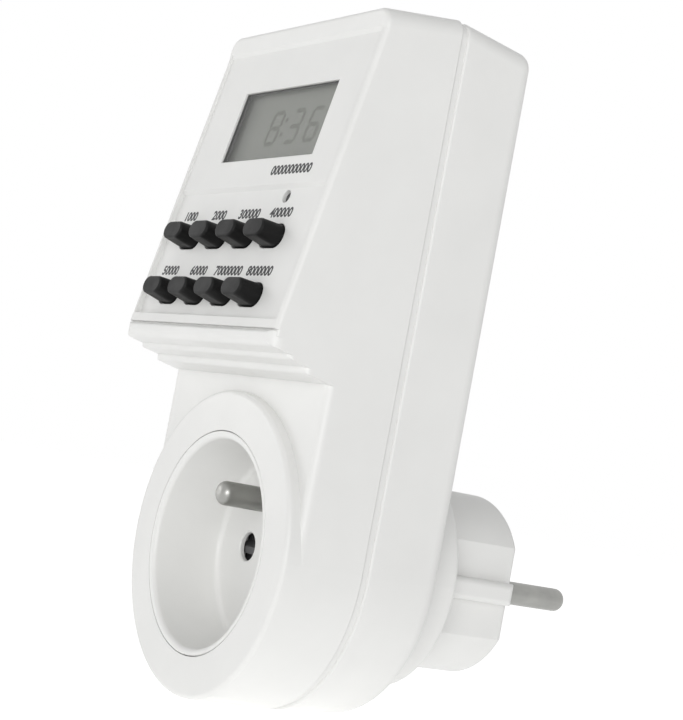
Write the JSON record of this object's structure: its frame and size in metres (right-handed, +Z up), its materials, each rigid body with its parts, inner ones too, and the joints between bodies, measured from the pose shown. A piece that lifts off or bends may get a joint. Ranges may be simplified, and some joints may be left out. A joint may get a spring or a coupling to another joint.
{
  "type": "plug-in timer switch",
  "caption": "Plug-in weekly timer switch: earthed plug behind, shuttered socket in front, liquid crystal display and sprung keys on a sloping panel.",
  "frame": {"origin": "centre of the plug's end face, on the axis shared by plug and socket", "axes": "+Y into the wall, the way the plug's pins point; +Z up towards the display; +X to the right seen from the front"},
  "size_m": [0.0604, 0.0955, 0.1362],
  "materials": {
    "housing": "satin off-white moulding",
    "socket": "satin off-white moulding",
    "keys": "matte charcoal",
    "reset": "matte grey",
    "window": "clear, polished",
    "display": "grey liquid crystal cell",
    "display_frame": "satin",
    "plated_metal": "nickel plated, satin",
    "contact_metal": "bare, drawn",
    "steel": "zinc plated",
    "board": "solder mask",
    "holder": "dull black",
    "shutter": "dull grey",
    "retainer": "dull",
    "insulation": "fibre sheet",
    "rubber": "silicone, dull",
    "zebra": "dull",
    "relay_case": "satin black",
    "film_capacitor": "yellow box",
    "can": "dark sleeve",
    "varistor": "blue coating",
    "fuse": "glass tube",
    "chip": "moulding compound",
    "resistor": "lacquered",
    "battery": "bright",
    "wire_brown": "insulation",
    "wire_blue": "insulation",
    "ribbon": "flat cable"
  },
  "bodies": {
    "housing": {"front_shell": "housing", "rear_shell": "housing", "socket_insert": "socket", "socket_earth_pin": "plated_metal", "contact_block": "holder", "shutter_spring": "steel", "live_contact": "contact_metal", "neutral_contact": "contact_metal", "insulation_sheet": "insulation", "earth_strap": "contact_metal", "rear_earth_contact": "contact_metal", "live_pin": "plated_metal", "neutral_pin": "plated_metal", "pin_retainer": "retainer", "display_window": "window", "display_gasket": "zebra", "lcd_glass": "display", "display_frame": "display_frame", "zebra_strips": "zebra", "logic_board": "board", "controller_chip": "chip", "crystal": "steel", "dome_mat": "rubber", "power_board": "board", "relay": "relay_case", "x2_capacitor": "film_capacitor", "smoothing_capacitor": "can", "varistor": "varistor", "fuse_link": "fuse", "rectifier_diodes": "chip", "resistors": "resistor", "transistor": "chip", "backup_battery": "battery", "battery_clip": "steel", "ribbon_cable": "ribbon", "live_supply_wire": "wire_brown", "neutral_supply_wire": "wire_blue", "live_load_wire": "wire_brown", "neutral_load_wire": "wire_blue", "housing_screws": "steel", "insert_screws": "steel", "block_screws": "steel", "retainer_screws": "steel", "power_board_screws": "steel", "logic_board_screws": "steel"},
    "key_1": {"key_1": "keys"},
    "key_2": {"key_2": "keys"},
    "key_3": {"key_3": "keys"},
    "key_4": {"key_4": "keys"},
    "key_5": {"key_5": "keys"},
    "key_6": {"key_6": "keys"},
    "key_7": {"key_7": "keys"},
    "key_8": {"key_8": "keys"},
    "reset": {"reset_button": "reset"},
    "shutter": {"shutter": "shutter"}
  },
  "joints": [
    {"name": "key_1_press", "type": "slide", "parent": "housing", "child": "key_1", "axis": [0, 0.9825, -0.1865], "range_m": [0, 0.0012], "stiffness_N_per_m": 500, "springref_m": -0.0008},
    {"name": "key_2_press", "type": "slide", "parent": "housing", "child": "key_2", "axis": [0, 0.9825, -0.1865], "range_m": [0, 0.0012], "stiffness_N_per_m": 500, "springref_m": -0.0008},
    {"name": "key_3_press", "type": "slide", "parent": "housing", "child": "key_3", "axis": [0, 0.9825, -0.1865], "range_m": [0, 0.0012], "stiffness_N_per_m": 500, "springref_m": -0.0008},
    {"name": "key_4_press", "type": "slide", "parent": "housing", "child": "key_4", "axis": [0, 0.9825, -0.1865], "range_m": [0, 0.0012], "stiffness_N_per_m": 500, "springref_m": -0.0008},
    {"name": "key_5_press", "type": "slide", "parent": "housing", "child": "key_5", "axis": [0, 0.9825, -0.1865], "range_m": [0, 0.0012], "stiffness_N_per_m": 500, "springref_m": -0.0008},
    {"name": "key_6_press", "type": "slide", "parent": "housing", "child": "key_6", "axis": [0, 0.9825, -0.1865], "range_m": [0, 0.0012], "stiffness_N_per_m": 500, "springref_m": -0.0008},
    {"name": "key_7_press", "type": "slide", "parent": "housing", "child": "key_7", "axis": [0, 0.9825, -0.1865], "range_m": [0, 0.0012], "stiffness_N_per_m": 500, "springref_m": -0.0008},
    {"name": "key_8_press", "type": "slide", "parent": "housing", "child": "key_8", "axis": [0, 0.9825, -0.1865], "range_m": [0, 0.0012], "stiffness_N_per_m": 500, "springref_m": -0.0008},
    {"name": "reset_press", "type": "slide", "parent": "housing", "child": "reset", "axis": [0, 0.9825, -0.1865], "range_m": [0, 0.0008], "stiffness_N_per_m": 300, "springref_m": -0.0005},
    {"name": "shutter_slide", "type": "slide", "parent": "housing", "child": "shutter", "axis": [0, 0, -1], "range_m": [0, 0.0064], "stiffness_N_per_m": 100, "springref_m": -0.004, "deforming": ["shutter_spring"]}
  ]
}
